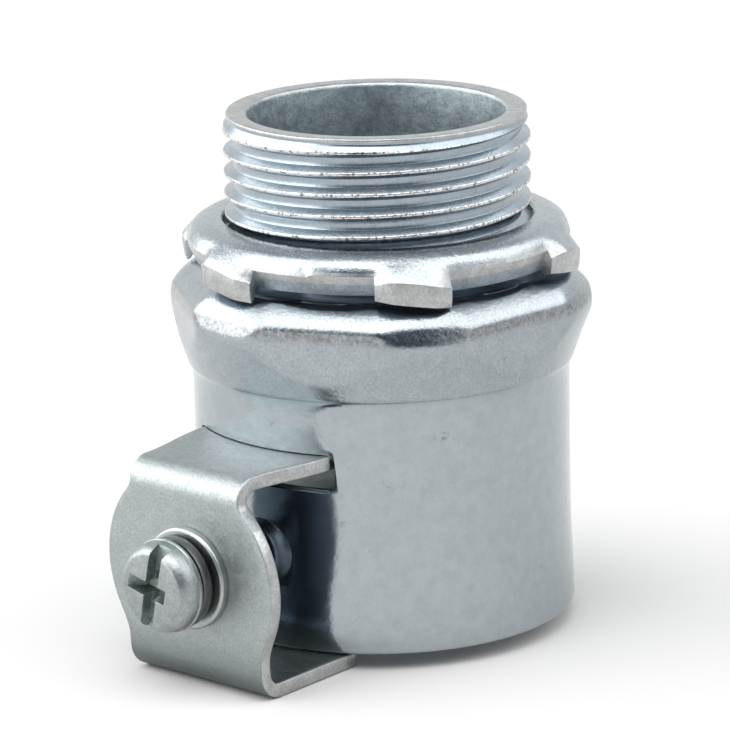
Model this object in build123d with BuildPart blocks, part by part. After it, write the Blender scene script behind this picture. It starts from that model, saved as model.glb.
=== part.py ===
"""Screw-clamp connector for 3/4 in flexible metal conduit, as six separate pieces.

The fitting's axis is Z, and the plane Z = 0 is the mouth of its conduit socket. The clamp strap faces -Y,
and its screw runs along Y. Sizes are in millimetres.
"""
import os

from build123d import *

os.makedirs("parts", exist_ok=True)

# Conduit socket and shell
conduit_radius = 13.55        # outside of the flexible conduit that it holds
socket_radius = 15.0
socket_depth = 21.9
shell_radius = 16.35          # outside of the straight wall
mouth_radius = 16.6           # the wall flares a little at the mouth
mouth_round = 0.35
flare_height = 8.0
wall_top = 17.0
crease_height = 22.1          # where the wall starts to swell into the shoulder
crease_radius = 16.7

# Shoulder: a swell with six flats, hollow inside
shoulder_radius = 18.45       # largest radius of the swell, at the hexagon's corners
shoulder_height = 27.0
crown_radius = 17.85          # where the swell's cone ends below, and its crown above
crown_bottom = 25.3
crown_top = 28.7
brow_radius = 16.9
brow_height = 29.75
seat_radius = 15.4            # flat ring on top, where the fitting meets a box
shoulder_top = 30.3
hollow_radius = 16.0
hollow_bottom = 25.2
hollow_top = 28.8
hollow_round = 1.8
flat_apothem = 17.35          # half the distance across the hexagon's flats
flat_turn = -67.2             # direction of the first flat, degrees from +X

# Nipple, 3/4 in with 14 threads to the inch
overall_height = 43.7
throat_radius = 11.1
throat_bevel = 0.5
thread_pitch = 25.4 / 14
thread_root_radius = 12.35
thread_crest_radius = 13.2
thread_crest_width = 0.28
thread_root_width = 1.5
thread_start = 30.18          # height of the thread's crest on +X, hidden under the shoulder
rim_radius = 12.8             # the thread is turned away towards the nipple's end
rim_slope = (1.2, 1.2)

# Locknut, dished from thick sheet
nut_bore_radius = 13.35
nut_flat_radius = 14.3        # the flat ring round the bore
nut_notch_radius = 16.0
nut_lug_radius = 17.85
nut_top = 34.6
nut_sheet = 2.35
lug_height = 4.7
lug_count = 6
lug_width_angle = 22.0
lug_turn = -40.1              # direction of the first lug, degrees from +X

# Clamp strap
strap_thickness = 1.25
strap_face = 25.2             # outer face, from the axis
strap_top = 17.35
strap_bottom = -1.35
strap_bend_radius = 2.2
ear_radius = 9.18
upper_leg_width = 12.1
upper_leg_root = 14.8         # the upper leg flares to this width where it enters the shell
flare_end = 17.6              # end of the flare, from the axis
lower_leg_width = 15.0
upper_neck_round = 1.2
lower_neck_round = 3.0
leg_end = 15.6                # middle of each leg's hollow end, from the axis

# Slot and tapped collar in the shell
slot_width = 15.9
slot_bottom = 14.1
slot_top = 17.45
slot_round = 0.9
collar_radius = 3.1
collar_end = 17.7             # from the axis

# Screw and washers
screw_height = 8.2
screw_radius = 2.0
screw_root_radius = 1.62
screw_pitch = 0.7
screw_tip = 15.15             # end of the screw, from the axis
tip_bevel = 0.35
head_radius = 4.0
head_face = 30.0
crown_round = 1.0
drive_slot_width = 1.35
drive_slot_depth = 1.1
cross_length = 4.7
cross_width = 1.25
cross_depth = 1.7
recess_turn = -12.0           # turn of the slot away from upright
flat_washer_radius = 4.45
flat_washer_thickness = 0.8
washer_bore_radius = 2.2
spring_width = 1.6
spring_thickness = 0.9
spring_slack = 0.3            # between the screw and the split washer
spring_lift = 0.45            # step between the split washer's two ends
spring_arc = 350.0
thread_clearance = 0.05
gap = 0.02                    # between parts that only rest on each other

flat_washer_face = strap_face + flat_washer_thickness
head_seat = flat_washer_face + spring_thickness + spring_lift + 2 * gap
screw_axis = Axis((0, 0, screw_height), (0, 1, 0))


def clamp_plane(distance, height=screw_height):
    """A plane that faces -Y, at a distance from the fitting's axis and a height above its mouth."""
    return Plane(origin=(0, -distance, height), x_dir=(1, 0, 0), z_dir=(0, -1, 0))


# --- Thread ridge of the nipple: one helical V with a narrow flat crest ---
ridge_turns = 8
ridge_sunk = 0.4              # the ridge's foot is inside the nipple's wall
ridge_path_radius = thread_root_radius - 0.05
with BuildPart() as ridge:
    with BuildLine() as ridge_path:
        Helix(pitch=thread_pitch, height=ridge_turns * thread_pitch, radius=ridge_path_radius,
              center=(0, 0, thread_start))
    ridge_start = Plane(ridge_path.line @ 0, x_dir=(1, 0, 0), z_dir=ridge_path.line % 0)
    with BuildSketch(ridge_start):
        crest = thread_crest_radius - ridge_path_radius
        foot = thread_root_radius - ridge_sunk - ridge_path_radius
        with BuildLine():
            Polyline((foot, -thread_root_width / 2), (crest, -thread_crest_width / 2),
                     (crest, thread_crest_width / 2), (foot, thread_root_width / 2), close=True)
        make_face()
    sweep(is_frenet=True)

# --- Body: formed steel shell with a swollen hexagonal shoulder and a threaded nipple ---
blank_top = overall_height + 2
with BuildPart() as body:
    with BuildSketch(Plane.XZ):
        with BuildLine():
            mouth = Line((socket_radius, 0), (mouth_radius - mouth_round, 0))
            lip = JernArc(mouth @ 1, mouth % 1, mouth_round, 90)
            flare = Line(lip @ 1, (shell_radius, flare_height))
            wall = Line(flare @ 1, (shell_radius, wall_top))
            ease = Line(wall @ 1, (crease_radius, crease_height))
            swell = Line(ease @ 1, (crown_radius, crown_bottom))
            crown = ThreePointArc(swell @ 1, (shoulder_radius, shoulder_height), (crown_radius, crown_top))
            brow = ThreePointArc(crown @ 1, (brow_radius, brow_height), (seat_radius, shoulder_top))
            seat = Line(brow @ 1, (thread_root_radius, shoulder_top))
            core = Line(seat @ 1, (thread_root_radius, blank_top))
            end = Line(core @ 1, (throat_radius, blank_top))
            throat = Line(end @ 1, (throat_radius, hollow_top))
            vault = CenterArc((hollow_radius - hollow_round, hollow_top - hollow_round), hollow_round, 0, 90)
            Line(throat @ 1, vault @ 1)
            inside = Line(vault @ 0, (hollow_radius, hollow_bottom))
            funnel = Line(inside @ 1, (socket_radius, socket_depth))
            Line(funnel @ 1, mouth @ 0)
        make_face()
    revolve(axis=Axis.Z)
    # the hexagon's six flats
    with BuildSketch(Plane.XY.offset(crease_height)):
        Circle(shoulder_radius + 3)
        with Locations(Rotation(0, 0, flat_turn)):
            RegularPolygon(flat_apothem, 6, major_radius=False, rotation=30, mode=Mode.SUBTRACT)
    extrude(amount=shoulder_top - crease_height, mode=Mode.SUBTRACT)
    # collar for the screw, drawn out of the wall
    wall_middle = (socket_radius + shell_radius) / 2
    with BuildSketch(clamp_plane(wall_middle)):
        Circle(collar_radius)
    extrude(amount=collar_end - wall_middle)
    with BuildSketch(clamp_plane(socket_radius - 2)):
        Circle(screw_radius + thread_clearance)
    extrude(amount=collar_end - socket_radius + 4, mode=Mode.SUBTRACT)
    # slot for the strap's upper leg
    with BuildSketch(clamp_plane(socket_radius - 5, (slot_top + slot_bottom) / 2)):
        RectangleRounded(slot_width, slot_top - slot_bottom, slot_round)
    extrude(amount=8, mode=Mode.SUBTRACT)
    # thread, then the nipple's end is faced, tapered outside and bevelled inside
    add(ridge.part)
    with BuildSketch(Plane.XZ):
        with BuildLine():
            Polyline((rim_radius, overall_height), (throat_radius - 1, overall_height),
                     (throat_radius - 1, overall_height + 4), (socket_radius, overall_height + 4),
                     (socket_radius, overall_height - 1.8),
                     (rim_radius + rim_slope[0], overall_height - rim_slope[1]), close=True)
        make_face()
    revolve(axis=Axis.Z, mode=Mode.SUBTRACT)
    with BuildSketch(Plane.XZ):
        with BuildLine():
            Polyline((throat_radius - 1, overall_height), (throat_radius + throat_bevel, overall_height),
                     (throat_radius, overall_height - throat_bevel),
                     (throat_radius - 1, overall_height - throat_bevel), close=True)
        make_face()
    revolve(axis=Axis.Z, mode=Mode.SUBTRACT)
body.part.label = "body"

# --- Locknut: dished ring with six lugs bent down ---
with BuildPart() as locknut:
    with BuildSketch(Plane.XZ):
        with BuildLine():
            top = Line((nut_bore_radius, nut_top), (nut_flat_radius, nut_top))
            dish = ThreePointArc(top @ 1, (15.6, nut_top - 0.35), (16.8, nut_top - 1.2))
            nose = ThreePointArc(dish @ 1, (17.5, nut_top - 1.8), (nut_lug_radius, nut_top - 2.5))
            tip = Line(nose @ 1, (nut_lug_radius - 0.3, nut_top - lug_height))
            under = Line(tip @ 1, (16.9, nut_top - lug_height + 0.15))
            hollow = Line(under @ 1, (15.6, nut_top - 3.15))
            ceiling = Line(hollow @ 1, (nut_flat_radius, nut_top - nut_sheet))
            inner = Line(ceiling @ 1, (nut_bore_radius, nut_top - nut_sheet))
            Line(inner @ 1, top @ 0)
        make_face()
    revolve(axis=Axis.Z)
    notch_angle = 360 / lug_count - lug_width_angle
    with BuildSketch(Plane.XY.offset(nut_top - lug_height - 1)):
        with BuildLine():
            near = CenterArc((0, 0), nut_notch_radius, -notch_angle / 2, notch_angle)
            far = CenterArc((0, 0), nut_lug_radius + 2, -notch_angle / 2, notch_angle)
            Line(near @ 0, far @ 0)
            Line(near @ 1, far @ 1)
        notch = make_face(mode=Mode.PRIVATE)
        with PolarLocations(0, lug_count, start_angle=lug_turn + 180 / lug_count):
            add(notch)
    extrude(amount=lug_height + 2, mode=Mode.SUBTRACT)
locknut.part.label = "locknut"

# --- Clamp strap: strip bent into a U, with an eared face ---
leg_blank = 9.0               # the legs start this near to the axis, before their ends are cut
inner_face = strap_face - strap_thickness
with BuildPart() as clamp_strap:
    with BuildSketch(Plane.YZ):
        with BuildLine():
            outside = FilletPolyline((-leg_blank, strap_top), (-strap_face, strap_top),
                                     (-strap_face, strap_bottom), (-leg_blank, strap_bottom),
                                     radius=strap_bend_radius)
            lining = FilletPolyline((-leg_blank, strap_top - strap_thickness),
                                    (-inner_face, strap_top - strap_thickness),
                                    (-inner_face, strap_bottom + strap_thickness),
                                    (-leg_blank, strap_bottom + strap_thickness),
                                    radius=strap_bend_radius - strap_thickness)
            Line(outside @ 0, lining @ 0)
            Line(outside @ 1, lining @ 1)
        make_face()
    extrude(amount=ear_radius, both=True)
    # outline seen from the front: a round ear on a narrow upper and a wider lower strip
    with BuildSketch(clamp_plane(leg_blank - 1)):
        Circle(ear_radius)
        rise = strap_top - screw_height
        drop = screw_height - strap_bottom
        with Locations((0, rise / 2)):
            Rectangle(upper_leg_width, rise + 0.2)
        with Locations((0, -drop / 2)):
            Rectangle(lower_leg_width, drop + 0.2)
        corners = vertices().filter_by(lambda v: abs(v.X) < ear_radius - 0.5)
        upper_necks = corners.filter_by(lambda v: 2 < v.Y < rise - 0.5)
        lower_necks = corners.filter_by(lambda v: -drop + 0.5 < v.Y < -2)
        fillet(upper_necks, upper_neck_round)
        fillet(lower_necks, lower_neck_round)
        with Locations((0, rise - strap_bend_radius / 2)):
            Rectangle(upper_leg_root, strap_bend_radius + 0.2)
    extrude(amount=strap_face, mode=Mode.INTERSECT)
    # the upper leg widens from the bend to the shell
    flare_start = strap_face - strap_bend_radius
    margin = 1.0
    with BuildSketch(Plane.XY.offset(strap_top - strap_bend_radius - margin / 2)):
        for side in (-1, 1):
            with BuildLine():
                Polyline((side * upper_leg_width / 2, -strap_face - margin),
                         (side * upper_leg_width / 2, -flare_start),
                         (side * upper_leg_root / 2, -flare_end),
                         (side * (upper_leg_root / 2 + margin), -flare_end),
                         (side * (upper_leg_root / 2 + margin), -strap_face - margin), close=True)
            make_face()
    extrude(amount=strap_bend_radius + margin, mode=Mode.SUBTRACT)
    # both legs end in an arc that fits the conduit once the strap is drawn in
    with BuildSketch(Plane.XY.offset(strap_bottom - 1)):
        with Locations((0, conduit_radius - leg_end)):
            Circle(conduit_radius)
    extrude(amount=strap_top - strap_bottom + 2, mode=Mode.SUBTRACT)
    with BuildSketch(clamp_plane(inner_face - 1)):
        Circle(washer_bore_radius)
    extrude(amount=strap_thickness + 2, mode=Mode.SUBTRACT)
clamp_strap.part.label = "clamp_strap"

# --- Clamp screw: low round head with a cross and a slot, and a shank with V grooves ---
groove_count = int((head_seat - screw_tip - 0.5) / screw_pitch)
head_edge = screw_height + head_radius
with BuildPart() as clamp_screw:
    with BuildSketch(Plane.YZ):
        with BuildLine():
            crown_line = Line((-head_face, screw_height), (-head_face, head_edge - 1.1 * crown_round))
            crown_arc = ThreePointArc(crown_line @ 1,
                                      (-head_face + 0.25 * crown_round, head_edge - 0.4 * crown_round),
                                      (-head_face + crown_round, head_edge - 0.05 * crown_round))
            side = Line(crown_arc @ 1, (-head_seat, head_edge))
            Line(side @ 1, (-head_seat, screw_height + screw_root_radius))
            grooves = []
            for i in range(groove_count):
                y = -head_seat + i * screw_pitch
                grooves.append((y, screw_height + screw_root_radius))
                grooves.append((y + screw_pitch * 0.45, screw_height + screw_radius))
                grooves.append((y + screw_pitch * 0.55, screw_height + screw_radius))
            grooves.append((-screw_tip - tip_bevel, screw_height + screw_root_radius))
            grooves.append((-screw_tip, screw_height + screw_root_radius - tip_bevel))
            grooves.append((-screw_tip, screw_height))
            shank_line = Polyline(*grooves)
            Line(shank_line @ 1, crown_line @ 0)
        make_face()
    revolve(axis=screw_axis)
    with BuildSketch(clamp_plane(head_face - drive_slot_depth)):
        Rectangle(drive_slot_width, 3 * head_radius, rotation=recess_turn)
    extrude(amount=2 * drive_slot_depth, mode=Mode.SUBTRACT)
    with BuildSketch(clamp_plane(head_face - cross_depth)):
        Rectangle(cross_width, cross_length, rotation=recess_turn)
        Rectangle(cross_length, cross_width, rotation=recess_turn)
    extrude(amount=2 * cross_depth, mode=Mode.SUBTRACT)
clamp_screw.part.label = "clamp_screw"

# --- Washers ---
with BuildPart() as flat_washer:
    with BuildSketch(clamp_plane(strap_face)):
        Circle(flat_washer_radius)
        Circle(washer_bore_radius, mode=Mode.SUBTRACT)
    extrude(amount=flat_washer_thickness)
flat_washer.part.label = "flat_washer"

with BuildPart() as spring_washer:
    with BuildLine() as spring_path:
        Helix(pitch=spring_lift * 360 / spring_arc, height=spring_lift,
              radius=screw_radius + spring_slack + spring_width / 2,
              center=(0, -flat_washer_face - gap - spring_thickness / 2, screw_height),
              direction=(0, -1, 0))
    spring_end = spring_path.line @ 0
    outwards = spring_end - Vector(0, spring_end.Y, screw_height)
    with BuildSketch(Plane(spring_end, x_dir=outwards, z_dir=spring_path.line % 0)):
        Rectangle(spring_width, spring_thickness)
    sweep(is_frenet=True)
spring_washer.part.label = "spring_washer"

for piece in (body, locknut, clamp_strap, clamp_screw, flat_washer, spring_washer):
    export_step(piece.part, f"parts/{piece.part.label}.step")
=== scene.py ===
"""Looks of the screw-clamp conduit connector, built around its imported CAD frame.

Shapes are worked out in millimetres in the row's frame: Z is the fitting's axis, Z = 0 the socket's mouth,
and the clamp strap faces -Y. They are scaled to metres when their meshes are made.
"""
import math

import bmesh
import bpy
import numpy as np
from mathutils import Matrix, Vector


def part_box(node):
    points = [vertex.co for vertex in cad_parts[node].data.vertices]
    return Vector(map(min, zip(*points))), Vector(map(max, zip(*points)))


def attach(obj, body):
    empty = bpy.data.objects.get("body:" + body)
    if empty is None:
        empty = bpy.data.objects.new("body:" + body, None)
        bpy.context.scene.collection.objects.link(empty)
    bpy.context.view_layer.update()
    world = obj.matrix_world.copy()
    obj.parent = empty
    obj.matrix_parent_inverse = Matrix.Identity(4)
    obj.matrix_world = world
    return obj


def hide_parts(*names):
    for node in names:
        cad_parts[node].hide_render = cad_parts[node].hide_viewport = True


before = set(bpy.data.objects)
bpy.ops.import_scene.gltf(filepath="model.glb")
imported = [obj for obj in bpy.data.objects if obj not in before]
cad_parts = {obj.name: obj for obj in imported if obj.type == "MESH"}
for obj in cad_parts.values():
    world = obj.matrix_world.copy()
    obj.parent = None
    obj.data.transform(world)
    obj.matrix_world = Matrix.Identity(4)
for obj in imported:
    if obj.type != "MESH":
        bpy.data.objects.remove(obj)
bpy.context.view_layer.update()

MM = 0.001
TAU = 2 * math.pi
merge_distance = 1e-6         # metres
sliver_edge = 1e-8            # metres


# ---------------------------------------------------------------- small tools

def smoothstep(low, high, x):
    t = np.clip((x - low) / (high - low), 0, 1)
    return t * t * (3 - 2 * t)


def smooth_min(a, b, k):
    """The smaller of a and b, rounded over a width of k where they cross."""
    h = np.clip(0.5 + 0.5 * (b - a) / k, 0, 1)
    return b * (1 - h) + a * h - k * h * (1 - h)


def smooth_max(a, b, k):
    return -smooth_min(-a, -b, k)


def curve_through(points, steps):
    """Smooth curve through the points (Catmull-Rom), with a number of steps between each two."""
    p = np.array(points, float)
    p = np.vstack([2 * p[0] - p[1], p, 2 * p[-1] - p[-2]])
    out = []
    for i in range(1, len(p) - 2):
        for t in np.arange(steps) / steps:
            a = 2 * p[i]
            b = p[i + 1] - p[i - 1]
            c = 2 * p[i - 1] - 5 * p[i] + 4 * p[i + 1] - p[i + 2]
            d = -p[i - 1] + 3 * p[i] - 3 * p[i + 1] + p[i + 2]
            out.append(0.5 * (a + b * t + c * t * t + d * t * t * t))
    out.append(p[-2])
    return [tuple(v) for v in out]


def arc(centre, radius, start, end, steps):
    """Points on an arc in a profile plane, angles in degrees."""
    angles = np.radians(np.linspace(start, end, steps + 1))
    return [(centre[0] + radius * math.cos(a), centre[1] + radius * math.sin(a)) for a in angles]


def new_object(name, vertices, faces):
    mesh = bpy.data.meshes.new(name)
    mesh.from_pydata((np.asarray(vertices, float) * MM).tolist(), [], faces)
    piece = bpy.data.objects.new(name, mesh)
    bpy.context.scene.collection.objects.link(piece)
    return piece


def tidy_mesh(piece):
    """Merges doubled vertices, drops faces with no area, and turns the normals outwards."""
    bm = bmesh.new()
    bm.from_mesh(piece.data)
    bmesh.ops.remove_doubles(bm, verts=bm.verts, dist=merge_distance)
    bmesh.ops.dissolve_degenerate(bm, edges=bm.edges, dist=sliver_edge)
    bmesh.ops.recalc_face_normals(bm, faces=bm.faces)
    bm.to_mesh(piece.data)
    bm.free()


def grid_faces(rows, columns, close_rows, thread=(0, 0, 0)):
    """Quads of a grid whose columns wrap round, and whose rows do too if asked.

    thread is (first row, last row, rows in a turn): where those rows wrap round, they join the next turn.
    """
    first, last, turn_rows = thread
    faces = []
    for r in range(rows if close_rows else rows - 1):
        upper = (r + 1) % rows
        for c in range(columns):
            right = (c + 1) % columns
            shift = turn_rows if right == 0 and first <= r < last else 0
            if shift and r + 1 + shift > last:
                continue
            faces.append((r * columns + c, (r + shift) * columns + right,
                          (upper + shift) * columns + right, upper * columns + c))
    return faces


def ring(radius, height, angles):
    """Points round Z, one at each angle. The radius and the height may change with the angle."""
    level = height + 0 * angles
    return np.stack([radius * np.cos(angles), radius * np.sin(angles), level], 1)


def ring_grid(profile, angles):
    """Points of a surface of revolution round Z: one row for each (radius, height)."""
    return np.array([ring(radius, height, angles) for radius, height in profile])


def lathe(name, profile, segments, closed=True):
    """A closed ring profile turned round Z, or a profile from axis to axis with closed=False."""
    angles = np.arange(segments) * TAU / segments
    grid = ring_grid(profile, angles)
    piece = new_object(name, grid.reshape(-1, 3), grid_faces(len(profile), segments, closed))
    tidy_mesh(piece)
    return piece


def to_screw_line(piece, height):
    """Turns a piece made round Z so that its +Z points along -Y, out of the clamp, at a height."""
    turn = Matrix.Translation((0, 0, height * MM)) @ Matrix.Rotation(math.radians(90), 4, "X")
    piece.data.transform(turn)


def boolean(piece, cutter, operation):
    """Cuts or joins with another mesh, which is used up."""
    modifier = piece.modifiers.new("cut", "BOOLEAN")
    modifier.operation = operation
    modifier.solver = "EXACT"
    modifier.object = cutter
    bake_modifiers(piece)
    bpy.data.objects.remove(cutter)


def bake_modifiers(piece):
    graph = bpy.context.evaluated_depsgraph_get()
    done = bpy.data.meshes.new_from_object(piece.evaluated_get(graph))
    old = piece.data
    piece.modifiers.clear()
    piece.data = done
    done.name = piece.name
    bpy.data.meshes.remove(old)


def soften_edges(piece, width, near, angle=35, segments=2):
    """Rounds the sharp edges whose middle passes the test near(x, y, z), in millimetres."""
    bm = bmesh.new()
    bm.from_mesh(piece.data)
    bmesh.ops.remove_doubles(bm, verts=bm.verts, dist=2 * merge_distance)
    weight = bm.edges.layers.float.get("bevel_weight_edge") or bm.edges.layers.float.new("bevel_weight_edge")
    for edge in bm.edges:
        middle = (edge.verts[0].co + edge.verts[1].co) / (2 * MM)
        sharp = len(edge.link_faces) == 2 and edge.calc_face_angle(0) > math.radians(angle)
        if sharp and near(*middle):
            edge[weight] = 1.0
    bm.to_mesh(piece.data)
    bm.free()
    modifier = piece.modifiers.new("soften", "BEVEL")
    modifier.limit_method = "WEIGHT"
    modifier.width = width * MM
    modifier.segments = segments
    modifier.use_clamp_overlap = True
    bake_modifiers(piece)


def shade(piece, angle=40):
    piece.data.polygons.foreach_set("use_smooth", [True] * len(piece.data.polygons))
    piece.data.set_sharp_from_angle(angle=math.radians(angle))
    piece.data.update()


def prism(name, outline, low, high):
    """A straight prism over a closed outline of (x, y), between two heights."""
    n = len(outline)
    vertices = [(x, y, low) for x, y in outline] + [(x, y, high) for x, y in outline]
    faces = [tuple(range(n - 1, -1, -1)), tuple(range(n, 2 * n))]
    faces += [(i, (i + 1) % n, n + (i + 1) % n, n + i) for i in range(n)]
    piece = new_object(name, vertices, faces)
    tidy_mesh(piece)
    return piece


def add_materials(piece, *materials):
    for material in materials:
        piece.data.materials.append(material)


def join(pieces):
    """Joins several meshes into the first one."""
    bm = bmesh.new()
    for piece in pieces:
        bm.from_mesh(piece.data)
    bm.to_mesh(pieces[0].data)
    bm.free()
    for piece in pieces[1:]:
        bpy.data.objects.remove(piece)
    return pieces[0]


# ---------------------------------------------------------------- materials

def add_node(tree, kind, **values):
    node = tree.nodes.new(kind)
    for key, value in values.items():
        if hasattr(node, key):
            setattr(node, key, value)
        else:
            node.inputs[key].default_value = value
    return node


def noise(tree, coords, scale, detail=3.0, roughness=0.55, distortion=0.0):
    """Noise whose features are about 1/scale millimetres across."""
    node = add_node(tree, "ShaderNodeTexNoise", Scale=scale, Detail=detail, Roughness=roughness,
                    Distortion=distortion)
    tree.links.new(coords, node.inputs["Vector"])
    return node.outputs["Fac"]


def ramp(tree, value, stops):
    """Colour or grey ramp: stops are (position, grey or colour)."""
    node = tree.nodes.new("ShaderNodeValToRGB")
    elements = node.color_ramp.elements
    while len(elements) < len(stops):
        elements.new(0.5)
    for element, (position, colour) in zip(elements, stops):
        element.position = position
        element.color = (colour,) * 3 + (1,) if isinstance(colour, float) else tuple(colour) + (1,)
    tree.links.new(value, node.inputs["Fac"])
    return node.outputs["Color"]


def mix(tree, factor, a, b, blend="MIX"):
    node = tree.nodes.new("ShaderNodeMix")
    node.data_type = "RGBA"
    node.blend_type = blend
    if isinstance(factor, float):
        node.inputs[0].default_value = factor
    else:
        tree.links.new(factor, node.inputs[0])
    for socket, value in ((node.inputs[6], a), (node.inputs[7], b)):
        if isinstance(value, tuple):
            socket.default_value = value + (1,)
        else:
            tree.links.new(value, socket)
    return node.outputs[2]


def maths(tree, operation, a, b):
    node = tree.nodes.new("ShaderNodeMath")
    node.operation = operation
    for socket, value in zip(node.inputs, (a, b)):
        if isinstance(value, (int, float)):
            socket.default_value = value
        else:
            tree.links.new(value, socket)
    return node.outputs[0]


def spread(tree, value, low, high, start=0.0, end=1.0, curve="LINEAR"):
    """Turns low to high into start to end, and stays level outside them."""
    node = tree.nodes.new("ShaderNodeMapRange")
    node.interpolation_type = curve
    for socket, level in (("From Min", low), ("From Max", high), ("To Min", start), ("To Max", end)):
        node.inputs[socket].default_value = level
    tree.links.new(value, node.inputs["Value"])
    return node.outputs["Result"]


def bump(tree, height, distance):
    """A slight relief, its distance in millimetres."""
    node = tree.nodes.new("ShaderNodeBump")
    node.inputs["Strength"].default_value = 0.5
    node.inputs["Distance"].default_value = distance * MM
    tree.links.new(height, node.inputs["Height"])
    return node


def object_coords(tree, stretch=(1, 1, 1)):
    """Object coordinates in millimetres, stretched along the axes."""
    position = tree.nodes.new("ShaderNodeTexCoord").outputs["Object"]
    scaled = add_node(tree, "ShaderNodeMapping")
    scaled.inputs["Scale"].default_value = tuple(s / MM for s in stretch)
    tree.links.new(position, scaled.inputs["Vector"])
    return scaled.outputs["Vector"]


def object_height(tree):
    """Height above the socket's mouth in millimetres."""
    split = tree.nodes.new("ShaderNodeSeparateXYZ")
    tree.links.new(object_coords(tree), split.inputs[0])
    return split.outputs["Z"]


def tint(material, share, tone):
    """Lays a tone over a material's colour, by a share from 0 (the colour stays) to 1 (it is covered)."""
    tree = material.node_tree
    base = tree.nodes["Principled BSDF"].inputs["Base Color"]
    tree.links.new(mix(tree, share, base.links[0].from_socket, tone), base)
    return material


def zinc(name, light, dark, roughness=0.16, grain=0.5, stain=0.3, streaks=0.0):
    """Bright zinc plate: a blue-grey metal with fine grain, faint drawing streaks and a few brown specks."""
    material = bpy.data.materials.new(name)
    material.use_nodes = True
    tree = material.node_tree
    shader = tree.nodes["Principled BSDF"]
    shader.inputs["Metallic"].default_value = 1.0
    coords = object_coords(tree)

    grains = noise(tree, coords, 5.0, detail=4.0, roughness=0.75)
    clouds = noise(tree, coords, 0.8, detail=6.0, roughness=0.7)
    colour = ramp(tree, clouds, [(0.36, dark), (0.60, light)])
    shaded = tuple(0.72 * value for value in dark)
    colour = mix(tree, ramp(tree, grains, [(0.42, 0.0), (0.74, 0.6 * grain)]), colour, shaded)
    if streaks:
        lines = noise(tree, object_coords(tree, (1, 1, 0.06)), 5.0, detail=5.0, roughness=0.7)
        colour = mix(tree, ramp(tree, lines, [(0.50, 0.0), (0.72, streaks)]), colour, dark)
    # sparse brown specks, in patches where a wide noise is high
    specks = noise(tree, coords, 2.6, detail=6.0, roughness=0.8)
    patches = noise(tree, coords, 0.30, detail=2.0)
    dirt = maths(tree, "MULTIPLY", specks, patches)
    brown = tuple(share * value for share, value in zip((0.42, 0.38, 0.34), dark))
    colour = mix(tree, ramp(tree, dirt, [(0.39, 0.0), (0.46, stain)]), colour, brown)
    tree.links.new(colour, shader.inputs["Base Color"])

    uneven = ramp(tree, noise(tree, coords, 1.1, detail=5.0, roughness=0.65),
                  [(0.3, roughness * 0.85), (0.7, roughness * 1.2)])
    tree.links.new(uneven, shader.inputs["Roughness"])

    # frosty grain of the plate over a soft unevenness of the sheet
    frost = bump(tree, noise(tree, coords, 3.2, detail=2.5, roughness=0.6), 0.03 * grain)
    swell = bump(tree, noise(tree, coords, 0.9, detail=2.0), 0.03)
    tree.links.new(swell.outputs["Normal"], frost.inputs["Normal"])
    tree.links.new(frost.outputs["Normal"], shader.inputs["Normal"])
    return material


def crest_wear_and_highlight(material, low, high, crest, speck):
    """Thread crests lightened to silver, partly wear and partly a painted highlight, with dark specks, where
    the distance from Z passes from low to high.
    """
    tree = material.node_tree
    reach = tree.nodes.new("ShaderNodeVectorMath")
    reach.operation = "LENGTH"
    tree.links.new(object_coords(tree, (1, 1, 0)), reach.inputs[0])
    worn = noise(tree, object_coords(tree), 3.0, detail=5.0, roughness=0.8)
    tone = ramp(tree, worn, [(0.42, speck), (0.49, crest)])
    return tint(material, spread(tree, reach.outputs["Value"], low, high), tone)


def painted_low_shade(material, low, high, tone):
    """Painted shade towards the bottom: fades to a darker tone between two heights, in millimetres."""
    tree = material.node_tree
    return tint(material, spread(tree, object_height(tree), low, high, 1.0, 0.0, "SMOOTHSTEP"), tone)


def scuffs_and_dark_reflection(material, low, high, tone):
    """Brown scuffs in a band between two heights, in millimetres, densest in its middle; they also darken the
    band as a painted dark reflection.
    """
    tree = material.node_tree
    within = ramp(tree, spread(tree, object_height(tree), low, high),
                  [(0.0, 0.0), (0.35, 1.0), (0.65, 1.0), (1.0, 0.0)])
    patches = noise(tree, object_coords(tree), 2.4, detail=6.0, roughness=0.75)
    worn = ramp(tree, patches, [(0.38, 0.0), (0.60, 0.7)])
    return tint(material, maths(tree, "MULTIPLY", within, worn), tone)


plate_light = (0.400, 0.440, 0.462)
plate_dark = (0.355, 0.390, 0.410)


def shoulder_plate():
    plate = zinc("zinc_plate_shoulder", plate_light, plate_dark, roughness=0.21, grain=1.7, stain=0.7)
    # the band where the flats meet the crown: brown scuffs and painted dark reflection
    return scuffs_and_dark_reflection(plate, 27.1, 28.7, (0.13, 0.11, 0.10))


def thread_plate():
    plate = zinc("zinc_plate_thread", (0.355, 0.410, 0.452), (0.310, 0.357, 0.395), roughness=0.24, grain=0.8,
                 stain=0.2)
    # worn crests that also carry a painted highlight
    return crest_wear_and_highlight(plate, 13.10, 13.17, (0.68, 0.68, 0.67), (0.14, 0.12, 0.10))


def strap_plate():
    plate = zinc("zinc_plate_strap", (0.395, 0.432, 0.430), (0.350, 0.382, 0.380), roughness=0.46, grain=1.8)
    # painted shade: the strap darkens towards its lower bend
    return painted_low_shade(plate, -1.2, 4.4, (0.15, 0.17, 0.172))


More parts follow.
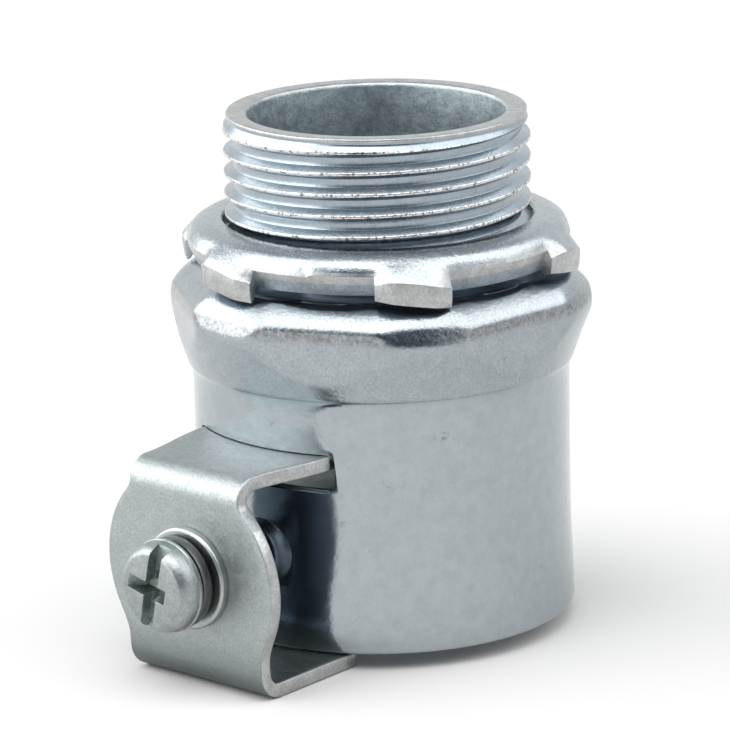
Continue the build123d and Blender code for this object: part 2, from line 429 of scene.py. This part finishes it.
shell_zinc = zinc("zinc_plate_shell", plate_light, plate_dark, roughness=0.15, grain=0.45, stain=0.7,
                  streaks=0.6)
shoulder_zinc = shoulder_plate()
# Near-black plate painted as shade on the screw's collar, the wall round it and the screw's shank, behind the
# strap.
painted_shade_zinc = zinc("zinc_plate_painted_shade", (0.10, 0.125, 0.155), (0.06, 0.075, 0.095), roughness=0.38, grain=0.6)
thread_zinc = thread_plate()
# Rough frosty plate for the throat, its colour lighter than the plate: painted light in the hollow.
throat_painted_light_zinc = zinc("zinc_plate_throat_painted_light", (0.50, 0.57, 0.585), (0.31, 0.37, 0.395), roughness=0.5, grain=1.6)
nut_zinc = zinc("zinc_plate_locknut", (0.45, 0.495, 0.515), (0.39, 0.43, 0.45), roughness=0.24, grain=1.9,
                stain=0.6)
strap_zinc = strap_plate()
# Dark blue plate painted as shade on the strap's back, which faces the shell.
strap_back_painted_shade_zinc = zinc("zinc_plate_strap_back_painted_shade", (0.22, 0.27, 0.33), (0.15, 0.19, 0.24), roughness=0.35, grain=0.8)
screw_zinc = zinc("zinc_plate_screw", (0.38, 0.405, 0.41), (0.30, 0.32, 0.325), roughness=0.36, grain=1.5,
                  stain=0.8)
washer_zinc = zinc("zinc_plate_washer", (0.43, 0.455, 0.455), (0.36, 0.38, 0.38), roughness=0.34, grain=0.6)
# Dark plate for the split washer: a duller finish, darkened further as painted shade under the screw's head.
spring_finish_and_shade_zinc = zinc("zinc_plate_spring_and_shade", (0.165, 0.165, 0.165), (0.12, 0.12, 0.12), roughness=0.36, grain=0.8)
cut_edge = zinc("zinc_sheared_edge", (0.52, 0.53, 0.53), (0.38, 0.385, 0.38), roughness=0.32, grain=1.5,
                stain=0.7)
torn_edge = zinc("zinc_torn_edge", (0.42, 0.47, 0.51), (0.30, 0.34, 0.37), roughness=0.42, grain=1.7,
                 stain=0.7)
# Light blue plate painted as light on the undersides in the gap under the locknut: the seat and the nut's
# underside.
painted_light_under_zinc = zinc("zinc_plate_under_painted_light", (0.44, 0.53, 0.62), (0.34, 0.42, 0.50), roughness=0.4, grain=0.8)
# Grey-green plate for the screw's recess, darker than the head as painted shade, with brown specks.
recess_painted_shade_zinc = zinc("zinc_recess_painted_shade", (0.36, 0.41, 0.40), (0.19, 0.22, 0.21), roughness=0.42, grain=1.4,
                   stain=0.9)


# ---------------------------------------------------------------- shell

shell_columns = 240
thread_pitch = 25.4 / 14
crest_radius = 13.2
root_radius = 12.35
thread_phase = 30.18          # height of a crest on +X
seat_height = 30.3
thread_end = 43.0
rim_radius = 12.9
last_crest = 42.62            # above this crest a slope leads to a shallow groove under the rim
lead_slope = 0.72
throat_radius = 11.1
nipple_end = 43.7
flat_apothem = 17.35
flat_turn = math.radians(-67.2)
flat_top = 28.3               # above this the flats lean in, more and more
flat_lean, flat_curl = 0.5, 0.32
flat_edge = 0.2               # width of the rounding where a flat meets the shoulder
corner_ease = 0.17            # how far the corners between the flats are worn down
crease = 22.1
screw_height = 8.2

# one turn of the thread from root to root: (part of the pitch from the crest, part of the depth)
thread_form = [(-0.310, 0.0), (-0.285, 0.035), (-0.070, 0.96), (-0.045, 1.0), (0.045, 1.0),
               (0.070, 0.96), (0.285, 0.035), (0.310, 0.0)]


def shell_outside():
    """The wall from the mouth's lip to the shoulder's seat."""
    profile = [(15.3, 0.0), (16.2, 0.0)]
    profile += arc((16.25, 0.35), 0.35, -90, 0, 4)
    profile += [(16.58, 1.6), (16.52, 3.5), (16.44, 5.5), (16.38, 7.2), (16.35, 9.0), (16.35, 11.5),
                (16.35, 14.0), (16.35, 18.0), (16.35, 20.4), (16.38, 21.1), (16.47, crease - 0.45),
                (16.58, crease - 0.12), (16.67, crease), (16.78, crease + 0.12)]
    profile += curve_through([(16.86, 22.5), (17.22, 23.5), (17.62, 24.6), (18.03, 25.6), (18.33, 26.4),
                              (18.45, 27.1), (18.36, 27.9), (18.02, 28.6), (17.45, 29.25), (16.75, 29.8),
                              (15.9, 30.18), (15.0, seat_height)], 3)
    profile += [(13.8, seat_height), (root_radius + 0.05, seat_height)]
    return profile


def hexagon(radius, height, angles):
    """Presses six flats into the shoulder. Above them the sheet leans in to the seat."""
    away = (angles - flat_turn + TAU / 12) % (TAU / 6) - TAU / 12
    above = max(height - flat_top, 0)
    apothem = flat_apothem - flat_lean * above - flat_curl * above ** 2
    flat = apothem / np.cos(away)
    # the corners between the flats are a little rounder than the shoulder
    corner = smoothstep(math.radians(14), math.radians(26), np.abs(away))
    eased = radius - corner_ease * corner * math.exp(-((height - 28.1) / 0.6) ** 2)
    pressed = smooth_min(eased, flat, flat_edge)
    return pressed if crease < height < seat_height - 0.05 else np.full_like(angles, radius)


def thread_rows(angles):
    """Rows of the helical thread. Each is one turn long, so its ends meet rows a turn apart."""
    lift = thread_pitch * angles / TAU
    turns = int((thread_end - thread_phase) / thread_pitch) + 3
    rows = []
    for turn in range(-1, turns):
        for offset, depth in thread_form:
            z = thread_phase + thread_pitch * (turn + offset) + lift
            z = np.clip(z, seat_height, thread_end)
            radius = root_radius + (crest_radius - root_radius) * depth
            cone = crest_radius - lead_slope * np.maximum(z - last_crest, 0)
            fade = smoothstep(last_crest - 0.3, last_crest + 0.1, z)
            run_in = smoothstep(seat_height + 0.3, seat_height, z)
            radius = radius * (1 - fade) + cone * fade
            radius = radius * (1 - run_in) + root_radius * run_in
            rows.append(ring(radius, z, angles))
    return rows


def shell_inside():
    """Rim of the nipple, its throat, the hollow of the shoulder and the socket's wall, from top to mouth."""
    profile = [(crest_radius - lead_slope * 0.56, last_crest + 0.56), (12.80, 43.28), (rim_radius, 43.42)]
    profile += arc((rim_radius - 0.14, nipple_end - 0.14), 0.14, 10, 90, 3)
    profile += [(12.2, nipple_end - 0.01)]
    profile += arc((throat_radius + 0.4, nipple_end - 0.42), 0.4, 90, 180, 5)
    profile += [(throat_radius, 40.0), (throat_radius, 35.0), (throat_radius, 29.7)]
    profile += arc((throat_radius + 0.5, 29.3), 0.5, 180, 270, 3)
    profile += [(13.0, 28.8), (14.2, 28.8)]
    profile += arc((14.2, 27.0), 1.8, 90, 0, 6)
    profile += [(16.0, 25.4), (15.9, 24.6), (15.1, 22.4), (15.0, 21.9), (15.0, 18.0), (15.0, 12.0),
                (15.0, 6.0), (15.0, 0.3)]
    profile += [(15.06, 0.1)]
    return profile


def shell_wall():
    angles = np.arange(shell_columns) * TAU / shell_columns
    outside = [ring(hexagon(radius, z, angles), z, angles) for radius, z in shell_outside()]
    thread = thread_rows(angles)
    inside = list(ring_grid(shell_inside(), angles))
    grid = np.array(outside + thread + inside)
    thread_span = (len(outside), len(outside) + len(thread) - 1, len(thread_form))
    faces = grid_faces(len(grid), shell_columns, True, thread_span)
    shell = new_object("shell_body", grid.reshape(-1, 3), faces)
    tidy_mesh(shell)
    return shell


def add_collar(shell):
    """The screw's tapped collar, drawn out of the wall, and the hole through it."""
    profile = [(0.0, 15.4), (3.6, 15.4), (3.3, 16.0), (3.0, 16.35), (2.86, 16.7), (2.8, 17.1)]
    profile += arc((2.55, 17.3), 0.25, 0, 90, 3) + [(0.0, 17.55)]
    collar = lathe("collar", profile, 64, closed=False)
    to_screw_line(collar, screw_height)
    boolean(shell, collar, "UNION")
    hole = lathe("hole", [(0.0, 13.0), (2.05, 13.0), (2.05, 17.35), (2.25, 17.55), (2.25, 19.0), (0.0, 19.0)],
                 64, closed=False)
    to_screw_line(hole, screw_height)
    boolean(shell, hole, "DIFFERENCE")


def cut_strap_slot(shell):
    """The slot for the strap's upper leg. It sits a little to one side."""
    half, low, high, corner, sideways = 7.95, 14.1, 17.45, 0.9, -0.8
    outline = []
    for x, z, start in ((half - corner, high - corner, 0), (-half + corner, high - corner, 90),
                        (-half + corner, low + corner, 180), (half - corner, low + corner, 270)):
        outline += arc((x + sideways, z), corner, start, start + 90, 5)
    slot = prism("slot", outline, 12.0, 20.0)
    to_screw_line(slot, 0)
    boolean(shell, slot, "DIFFERENCE")


shell_surfaces = (shell_zinc, thread_zinc, throat_painted_light_zinc, shoulder_zinc, painted_shade_zinc, cut_edge, painted_light_under_zinc)


def shell_surface(x, y, height):
    """The material at a place on the shell, in millimetres."""
    reach = math.hypot(x, y)
    if height > nipple_end - 0.3 and reach > throat_radius + 0.1:
        return cut_edge
    if height > seat_height + 0.3 and reach > throat_radius + 0.9:
        return thread_zinc
    if height > 29 and reach < throat_radius + 0.9:
        return throat_painted_light_zinc
    if height > crease and reach > 16:
        return shoulder_zinc
    # the wall round the screw's collar, behind the strap, gets the painted shade plate
    if reach > 16.4 and y < 0 and math.hypot(x, height - screw_height) < 3.5:
        return painted_shade_zinc
    # the seat under the locknut gets the painted light plate
    if height > seat_height - 0.06 and reach < 15.0:
        return painted_light_under_zinc
    return shell_zinc


def make_shell():
    shell = shell_wall()
    add_collar(shell)
    cut_strap_slot(shell)
    soften_edges(shell, 0.12, lambda x, y, z: y < -11.5 and abs(x) < 9.2 and 5.2 < z < 18)
    shade(shell, 38)
    add_materials(shell, *shell_surfaces)
    for face in shell.data.polygons:
        face.material_index = shell_surfaces.index(shell_surface(*(value / MM for value in face.center)))
    return shell


shell = make_shell()


# ---------------------------------------------------------------- locknut

nut_top = 34.6
nut_bore = 13.35
lug_turn = math.radians(-40.1)
lug_half = math.radians(11.0)
lug_slant = 0.5               # each lug's trailing corner bites lower than its leading one
nut_reach = 17.7              # from the axis to the lugs' outer face
lug_corner = 0.70             # how far the lugs' corners are drawn in
nut_columns = 288


def sector(name, profile, start, end, steps):
    """A closed profile of (radius, height) swept round Z between two angles, with flat ends."""
    angles = np.linspace(start, end, steps + 1)
    grid = ring_grid(profile, angles).transpose(1, 0, 2)
    rows, columns = grid.shape[:2]
    faces = grid_faces(rows, columns, False)
    faces.append(tuple(range(columns)))
    faces.append(tuple((rows - 1) * columns + c for c in range(columns - 1, -1, -1)))
    piece = new_object(name, grid.reshape(-1, 3), faces)
    tidy_mesh(piece)
    return piece


def locknut_profile():
    profile = [(nut_bore, nut_top - 2.2), (nut_bore, nut_top - 0.2), (nut_bore + 0.18, nut_top - 0.02)]
    profile += curve_through([(13.9, nut_top), (14.7, nut_top - 0.06), (15.5, nut_top - 0.32),
                              (16.2, nut_top - 0.78), (16.8, nut_top - 1.25), (17.3, nut_top - 1.70),
                              (nut_reach, nut_top - 2.15)], 3)
    profile += [(17.72, nut_top - 2.8), (17.66, nut_top - 3.5), (17.55, nut_top - 4.1)]
    profile += curve_through([(17.2, nut_top - 4.12), (16.6, nut_top - 3.95), (16.0, nut_top - 3.6),
                              (15.3, nut_top - 3.0), (14.6, nut_top - 2.55), (13.9, nut_top - 2.4)], 2)
    return profile


def shape_lugs(grid, angles):
    """Rounds the lugs' corners in plan, slants each lug along the rim, and lets its top fall away."""
    radius = np.hypot(grid[..., 0], grid[..., 1])
    away = (angles - lug_turn + TAU / 12) % (TAU / 6) - TAU / 12
    across = np.clip(away / lug_half, -1.1, 1.1)[None, :]
    outer = smoothstep(15.9, nut_reach, radius)
    pull = 1 - lug_corner / nut_reach * smoothstep(0.5, 1.1, np.abs(across)) * outer
    grid[..., :2] *= pull[..., None]
    # the top falls to both sides, most to the leading one
    upper = smoothstep(nut_top - 3.2, nut_top - 1.9, grid[..., 2])
    fall = 0.30 * across ** 2 + 0.45 * smoothstep(-0.55, -1.1, across)
    grid[..., 2] -= outer * (lug_slant * across + fall * upper)


def notches():
    """Between the lugs the rim is sheared off, on a slant that follows the dish."""
    profile = [(15.2, 29.0), (15.75, 31.0), (16.3, 32.2), (16.75, 33.3), (17.2, 34.6), (17.6, 36.0),
               (20.0, 36.0), (20.0, 29.0)]
    half = TAU / 12 - lug_half
    cutters = []
    for i in range(6):
        middle = lug_turn + TAU / 12 + i * TAU / 6
        cutters.append(sector(f"notch_{i}", profile, middle - half, middle + half, 16))
    return join(cutters)


nut_surfaces = (nut_zinc, cut_edge, torn_edge, painted_light_under_zinc)


def nut_surface(face):
    reach = math.hypot(face.center.x, face.center.y) / MM
    if reach > 15.4 and abs(face.normal.z) < 0.6 and face.center.z < (nut_top - 1.3) * MM:
        return cut_edge if face.center.z > 32.2 * MM or reach > 16.6 else torn_edge
    # the nut's underside gets the painted light plate
    return painted_light_under_zinc if face.normal.z < -0.5 else nut_zinc


def make_locknut():
    profile = locknut_profile()
    angles = np.arange(nut_columns) * TAU / nut_columns
    grid = ring_grid(profile, angles)
    shape_lugs(grid, angles)
    nut = new_object("locknut_stamped", grid.reshape(-1, 3), grid_faces(len(profile), nut_columns, True))
    tidy_mesh(nut)
    boolean(nut, notches(), "DIFFERENCE")
    soften_edges(nut, 0.24, lambda x, y, z: math.hypot(x, y) > 15.4, angle=32, segments=3)
    shade(nut, 40)
    add_materials(nut, *nut_surfaces)
    for face in nut.data.polygons:
        face.material_index = nut_surfaces.index(nut_surface(face))
    return nut


locknut = make_locknut()


# ---------------------------------------------------------------- clamp strap

strip = 1.25
strap_face = 25.2
strap_top = 17.35
strap_bottom = -1.35
bend = 2.2
ear_radius = 9.18
bite_radius = 13.55
bite_shift = 2.05
upper_half, lower_half = 6.1, 7.45
strap_lean = 0.055            # the strap sits a little askew on its screw
lean_height = 6.0
edge_round = 0.16
across_steps = 20             # faces across the strip
bend_steps = 12
leg_steps = 10
face_steps = 48
upper_root_half = 7.4         # the upper leg flares to this where it enters the shell
bend_centre = -strap_face + bend


def strap_half_width(z):
    """Half the strap's width at a height on its face: an ear on a narrow upper and a wider lower strip."""
    ear = math.sqrt(max(ear_radius ** 2 - (z - screw_height) ** 2, 0))
    strip_half = upper_half if z > screw_height else lower_half
    blend_width = 0.5 if z > screw_height else 0.9
    return float(smooth_max(np.float64(ear), np.float64(strip_half), blend_width))


def strap_bend(first, low_z, half_width):
    """Rows round a quarter bend, from its first angle. low_z is the height of its centre."""
    r = bend - strip / 2
    rows = []
    for i in range(bend_steps + 1):
        a = math.radians(first + 90 * i / bend_steps)
        z = low_z + r * math.sin(a)
        rows.append(("point", bend_centre + r * math.cos(a), z, (math.cos(a), math.sin(a)), half_width(z)))
    return rows


def strap_rows():
    """Rows along the strip: (how y is given, y or share of the leg, z, outward direction, half width)."""
    rows = []
    for i in range(leg_steps):
        flare = float(smoothstep(0.1, 1.0, i / leg_steps))
        half = upper_root_half + (upper_half - upper_root_half) * flare
        rows.append(("leg", i / leg_steps, strap_top - strip / 2, (0.0, 1.0), half))
    high, low = strap_top - bend, strap_bottom + bend
    rows += strap_bend(90, high, strap_half_width)
    for i in range(1, face_steps):
        z = high + (low - high) * i / face_steps
        rows.append(("point", -strap_face + strip / 2, z, (-1.0, 0.0), strap_half_width(z)))
    rows += strap_bend(180, low, lambda z: lower_half)
    for i in range(leg_steps - 1, -1, -1):
        rows.append(("leg", i / leg_steps, strap_bottom + strip / 2, (0.0, -1.0), lower_half))
    return rows


def strip_section(half):
    """The strip's cross-section as (x, height over its middle), with rounded edges."""
    inner, thick = half - edge_round, strip / 2
    flat = np.linspace(-1, 1, across_steps + 1) * inner
    section = [(x, thick) for x in flat]
    for side, level, first in ((1, 1, 30), (1, -1, 90)):
        section += rounded_edge(side * inner, level * (thick - edge_round), first)
    section += [(x, -thick) for x in flat[::-1]]
    for side, level, first in ((-1, -1, 210), (-1, 1, 270)):
        section += rounded_edge(side * inner, level * (thick - edge_round), first)
    return section


def rounded_edge(x, height, first):
    return [(x + edge_round * math.sin(a), height + edge_round * math.cos(a))
            for a in np.radians([first, first + 30, first + 60])]


def bitten_end(first):
    """Quads that close one end of the strip, from its outer to its inner side. The row starts at first."""
    side = across_steps + 1
    edge = 6                  # points round the strip's two corners at one edge
    tail = 2 * side + edge
    outer = [first + tail + 3 + i for i in range(3)] + [first + i for i in range(side + 3)]
    inner = [first + tail + 2 - i for i in range(3)]
    inner += [first + side + edge + across_steps - i for i in range(side)]
    inner += [first + across_steps + edge - i for i in range(3)]
    return [(outer[i], outer[i + 1], inner[i + 1], inner[i]) for i in range(len(outer) - 1)]


strap_surfaces = (strap_zinc, cut_edge, strap_back_painted_shade_zinc)


def strap_surface(face):
    sheared = abs(face.normal.x) > 0.8
    bite = face.center.y > -15.7 * MM and face.normal.y > 0.7
    if sheared or bite:
        return cut_edge
    # the strap's back, facing the shell, gets the painted shade plate
    return strap_back_painted_shade_zinc if face.normal.y > 0.5 and face.center.y < -20 * MM else strap_zinc


def make_strap():
    vertices = []
    rows = strap_rows()
    for kind, place, z, out, half in rows:
        section = strip_section(half)
        for x, lift in section:
            y = place
            if kind == "leg":
                end = -bite_shift - math.sqrt(bite_radius ** 2 - x * x)
                y = end + (bend_centre - end) * place
            height = z + out[1] * lift
            vertices.append((x - strap_lean * (height - lean_height), y + out[0] * lift, height))
    ring_size = len(section)
    faces = grid_faces(len(rows), ring_size, False)
    faces += bitten_end(0)
    faces += [quad[::-1] for quad in bitten_end((len(rows) - 1) * ring_size)]
    strap = new_object("strap_bent", vertices, faces)
    tidy_mesh(strap)
    hole = lathe("strap_hole", [(0.0, 22.0), (2.25, 22.0), (2.25, 27.0), (0.0, 27.0)], 48, closed=False)
    to_screw_line(hole, screw_height)
    boolean(strap, hole, "DIFFERENCE")
    shade(strap, 40)
    add_materials(strap, *strap_surfaces)
    for face in strap.data.polygons:
        face.material_index = strap_surfaces.index(strap_surface(face))
    return strap


strap = make_strap()


# ---------------------------------------------------------------- screw and washers

screw_radius, screw_root = 2.0, 1.62
screw_pitch = 0.7
screw_tip = 15.15
head_radius, head_face = 4.0, 30.0
seat = 27.84
recess_turn = math.radians(-12)


def blade(name, length, width, depth, taper, shift=0.0):
    """One bar of the recess, tapered to its bottom. It is moved along its length by shift."""
    top = head_face + 0.5
    low = head_face - depth
    wide = [(-width / 2, -length / 2 + shift), (width / 2, -length / 2 + shift),
            (width / 2, length / 2 + shift), (-width / 2, length / 2 + shift)]
    narrow = [(x * (1 - taper * 0.3), (y - shift) * (1 - taper) + shift) for x, y in wide]
    points = [(x, y, low) for x, y in narrow] + [(x, y, top) for x, y in wide]
    faces = [(3, 2, 1, 0), (4, 5, 6, 7), (0, 1, 5, 4), (1, 2, 6, 5), (2, 3, 7, 6), (3, 0, 4, 7)]
    piece = new_object(name, points, faces)
    tidy_mesh(piece)
    return piece


def cut_recess(head):
    """A slot right across the head, and a cross over it."""
    slot_blade = blade("slot_blade", 9.0, 1.35, 1.1, 0.0)
    cross_along = blade("cross_along", 4.6, 1.3, 1.8, 0.5)
    cross_over = blade("cross_over", 4.7, 1.3, 1.8, 0.5, shift=0.5)
    cross_over.data.transform(Matrix.Rotation(math.radians(90), 4, "Z"))
    for cutter in (slot_blade, cross_along, cross_over):
        cutter.data.transform(Matrix.Rotation(recess_turn, 4, "Z"))
        boolean(head, cutter, "DIFFERENCE")


def make_screw_head():
    profile = [(0.0, seat), (3.0, seat), (head_radius - 0.06, seat), (head_radius, seat + 0.06),
               (head_radius, seat + 0.26), (head_radius - 0.05, seat + 0.32)]
    profile += curve_through([(head_radius - 0.09, seat + 0.36), (head_radius - 0.15, seat + 0.9),
                              (head_radius - 0.30, seat + 1.4), (head_radius - 0.52, seat + 1.78)], 3)
    profile += curve_through([(head_radius - 0.62, head_face - 0.27), (head_radius - 0.78, head_face - 0.13),
                              (head_radius - 1.0, head_face - 0.06)], 3)
    profile += [(1.6, head_face - 0.02), (0.8, head_face - 0.005), (0.0, head_face)]
    head = lathe("screw_pan_head", profile, 96, closed=False)
    cut_recess(head)
    soften_edges(head, 0.09, lambda x, y, z: z > head_face - 1.9, angle=45)
    add_materials(head, screw_zinc, recess_painted_shade_zinc)
    for face in head.data.polygons:
        c = Matrix.Rotation(-recess_turn, 3, "Z") @ (face.center / MM)
        in_slot = abs(c.x) < 0.71
        in_cross = abs(c.y) < 0.71 and abs(c.x) < 2.95
        # faces in the recess get the painted shade plate
        if (in_slot or in_cross) and seat + 0.2 < c.z < head_face - 0.12:
            face.material_index = 1
    to_screw_line(head, screw_height)
    shade(head, 38)
    return head


def make_screw_shank():
    """The shank and its helical thread, made upwards from the tip."""
    segments = 48
    angles = np.arange(segments) * TAU / segments
    form = [(-0.36, 0.0), (-0.08, 1.0), (0.08, 1.0), (0.36, 0.0)]
    turns = int((seat - screw_tip) / screw_pitch) + 4
    top = seat + 0.05
    rows = [ring(0, screw_tip, angles)]
    for turn in range(-1, turns):
        for offset, depth in form:
            z = screw_tip + screw_pitch * (turn + offset) + screw_pitch * angles / TAU
            z = np.clip(z, screw_tip, top)
            radius = screw_root + (screw_radius - screw_root) * depth
            radius = np.minimum(radius, screw_root - 0.3 + (z - screw_tip) * 0.9)
            radius = np.where(z > seat - 0.5, screw_root, radius)
            rows.append(ring(radius, z, angles))
    rows.append(ring(0, top, angles))
    faces = grid_faces(len(rows), segments, False, (1, len(rows) - 2, len(form)))
    shank = new_object("screw_shank", np.array(rows).reshape(-1, 3), faces)
    tidy_mesh(shank)
    # the shank gets the painted shade plate
    add_materials(shank, painted_shade_zinc)
    to_screw_line(shank, screw_height)
    shade(shank, 38)
    return shank


screw_head = make_screw_head()
screw_shank = make_screw_shank()


washer_top = strap_face + 0.8


def make_flat_washer():
    low, high, bore, rim = strap_face, washer_top, 2.25, 4.38
    profile = [(bore, low + 0.08), (bore, high - 0.08), (bore + 0.08, high), (3.4, high)]
    profile += arc((rim - 0.3, high - 0.3), 0.3, 90, 0, 5)
    profile += [(rim, low + 0.1), (rim - 0.08, low), (3.4, low), (bore + 0.08, low)]
    washer = lathe("washer_plain", profile, 96)
    to_screw_line(washer, screw_height)
    shade(washer, 40)
    add_materials(washer, washer_zinc)
    return washer


def make_spring_washer():
    middle, wide, thick, lift, sweep = 3.08, 1.6, 1.0, 0.78, math.radians(350)
    start, steps, soft = math.radians(275), 90, 0.12
    section = []
    for cx, cy, a0 in ((1, 1, 0), (-1, 1, 90), (-1, -1, 180), (1, -1, 270)):
        x, y = cx * (wide / 2 - soft), cy * (thick / 2 - soft)
        section += [(x + soft * math.cos(a), y + soft * math.sin(a))
                    for a in np.radians([a0, a0 + 45, a0 + 90])]
    vertices = []
    base = washer_top + 0.02 + thick / 2
    for i in range(steps + 1):
        a = start - sweep * i / steps
        for x, y in section:
            r = middle + x
            vertices.append((r * math.cos(a), r * math.sin(a), base + lift * i / steps + y))
    ring_size = len(section)
    faces = grid_faces(steps + 1, ring_size, False)
    faces.append(tuple(range(ring_size)))
    faces.append(tuple(steps * ring_size + i for i in range(ring_size - 1, -1, -1)))
    washer = new_object("washer_split", vertices, faces)
    tidy_mesh(washer)
    to_screw_line(washer, screw_height)
    shade(washer, 40)
    add_materials(washer, spring_finish_and_shade_zinc)
    return washer


flat_washer = make_flat_washer()
spring_washer = make_spring_washer()

for piece, body, node, slot_name in (
        (shell, "shell", "body", "zinc_shell"),
        (locknut, "nut", "locknut", "zinc_locknut"),
        (strap, "clamp", "clamp_strap", "zinc_strap"),
        (screw_head, "screw", "clamp_screw", "zinc_screw"),
        (screw_shank, "screw", "clamp_screw", "zinc_screw"),
        (flat_washer, "clamp", "flat_washer", "zinc_washers"),
        (spring_washer, "clamp", "spring_washer", "zinc_washers")):
    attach(piece, body)
    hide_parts(node)


# ---------------------------------------------------------------- stage, light and camera

def make_floor(height):
    half = 3000
    floor = new_object("floor", [(-half, -half, height), (half, -half, height), (half, half, height),
                                 (-half, half, height)], [(0, 1, 2, 3)])
    material = bpy.data.materials.new("pale_floor")
    material.use_nodes = True
    shader = material.node_tree.nodes["Principled BSDF"]
    shader.inputs["Base Color"].default_value = (0.585, 0.575, 0.565, 1)
    shader.inputs["Roughness"].default_value = 0.9
    shader.inputs["Specular IOR Level"].default_value = 0.1
    add_materials(floor, material)


def softbox(name, place, target, size, brightness):
    """A large even area light at a place, facing a target. Its power follows from its size and brightness."""
    data = bpy.data.lights.new(name, "AREA")
    data.shape = "RECTANGLE"
    data.size, data.size_y = size[0] * MM, size[1] * MM
    data.energy = brightness * 4 * data.size * data.size_y
    lamp = bpy.data.objects.new(name, data)
    lamp.location = Vector(place) * MM
    lamp.rotation_euler = (Vector(target) - Vector(place)).to_track_quat("-Z", "Y").to_euler()
    bpy.context.scene.collection.objects.link(lamp)


camera_azimuth = math.radians(40.6)
camera_elevation = math.radians(15.25)
camera_distance = 360.0
camera_roll = math.radians(1.25)
right = Vector((math.cos(camera_azimuth), math.sin(camera_azimuth), 0))
forward = Vector((-math.sin(camera_azimuth) * math.cos(camera_elevation),
                  math.cos(camera_azimuth) * math.cos(camera_elevation), -math.sin(camera_elevation)))
up = right.cross(forward)
level_back = Vector((-forward.x, -forward.y, 0)).normalized()
band_brightness = 1.6


def make_camera():
    data = bpy.data.cameras.new("camera")
    data.sensor_width = 36.0
    data.lens = 204.2
    data.clip_start = 0.01
    data.clip_end = 20
    look_at = right * -1.42 + Vector((0, 0, 20.93))
    place = (look_at - forward * camera_distance) * MM
    c, s = math.cos(camera_roll), math.sin(camera_roll)
    across = right * c - up * s
    above = right * s + up * c
    basis = Matrix((across, above, -forward)).transposed().to_4x4()
    camera = bpy.data.objects.new("camera", data)
    camera.matrix_world = Matrix.Translation(place) @ basis
    bpy.context.scene.collection.objects.link(camera)
    bpy.context.scene.camera = camera


def from_camera(sideways, towards, height):
    """A place given from the camera's point of view: to its right, towards it, and up, in millimetres."""
    return right * sideways + level_back * towards + Vector((0, 0, height))


def along(tree, direction, axis):
    """How far a direction points along an axis, from -1 to 1."""
    node = tree.nodes.new("ShaderNodeVectorMath")
    node.operation = "DOT_PRODUCT"
    node.inputs[1].default_value = axis[:]
    tree.links.new(direction, node.inputs[0])
    return node.outputs["Value"]


def make_world():
    """A studio for the metal to mirror: a bright band overhead, dark behind the camera, pale in front."""
    world = bpy.data.worlds.new("studio")
    bpy.context.scene.world = world
    world.use_nodes = True
    tree = world.node_tree
    background = tree.nodes["Background"]
    direction = tree.nodes.new("ShaderNodeTexCoord").outputs["Generated"]
    split = tree.nodes.new("ShaderNodeSeparateXYZ")
    tree.links.new(direction, split.inputs[0])
    rise = split.outputs["Z"]
    back = along(tree, direction, level_back)
    # from the horizon behind the camera (0) over the zenith (0.5) to the horizon in front of it (1)
    angle = maths(tree, "DIVIDE", maths(tree, "ARCTAN2", rise, back), math.pi)
    dark, pale, middle = (0.08, 0.115, 0.16), (0.92, 0.95, 0.97), (0.46, 0.51, 0.56)
    sky = ramp(tree, angle, [(0.0, (0.75, 0.77, 0.80)), (0.04, (0.20, 0.24, 0.30)), (0.07, dark),
                             (0.20, dark), (0.27, pale), (0.52, pale), (0.59, middle), (0.72, middle),
                             (0.80, pale), (1.0, (0.98, 1.0, 1.0))])
    across = maths(tree, "ABSOLUTE", along(tree, direction, right), 0)
    side = ramp(tree, across, [(0.44, 0.0), (0.66, 1.0)])
    sky = mix(tree, side, sky, pale)
    band = ramp(tree, angle, [(0.225, 0.0), (0.275, 1.0), (0.52, 1.0), (0.58, 0.0)])
    wide = ramp(tree, angle, [(0.225, 0.0), (0.275, 1.0), (0.72, 1.0), (0.82, 0.0)])
    high = ramp(tree, rise, [(0.20, 0.0), (0.45, 1.0)])
    lamp = maths(tree, "MULTIPLY", mix(tree, side, band, wide), high)
    lamp = maths(tree, "MULTIPLY", lamp, band_brightness)
    lit = mix(tree, 1.0, sky, lamp, "ADD")
    tree.links.new(lit, background.inputs["Color"])


make_camera()
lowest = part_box("clamp_strap")[0][2] / MM
make_floor(lowest - 0.05)
make_world()
middle_height = 22
softbox("front_top", from_camera(-60, 190, 420), (0, 0, middle_height), (240, 160), 1.9)
softbox("left", from_camera(-420, -20, 190), (0, 0, middle_height), (860, 330), 1.6)
bpy.context.scene.view_settings.view_transform = "Standard"
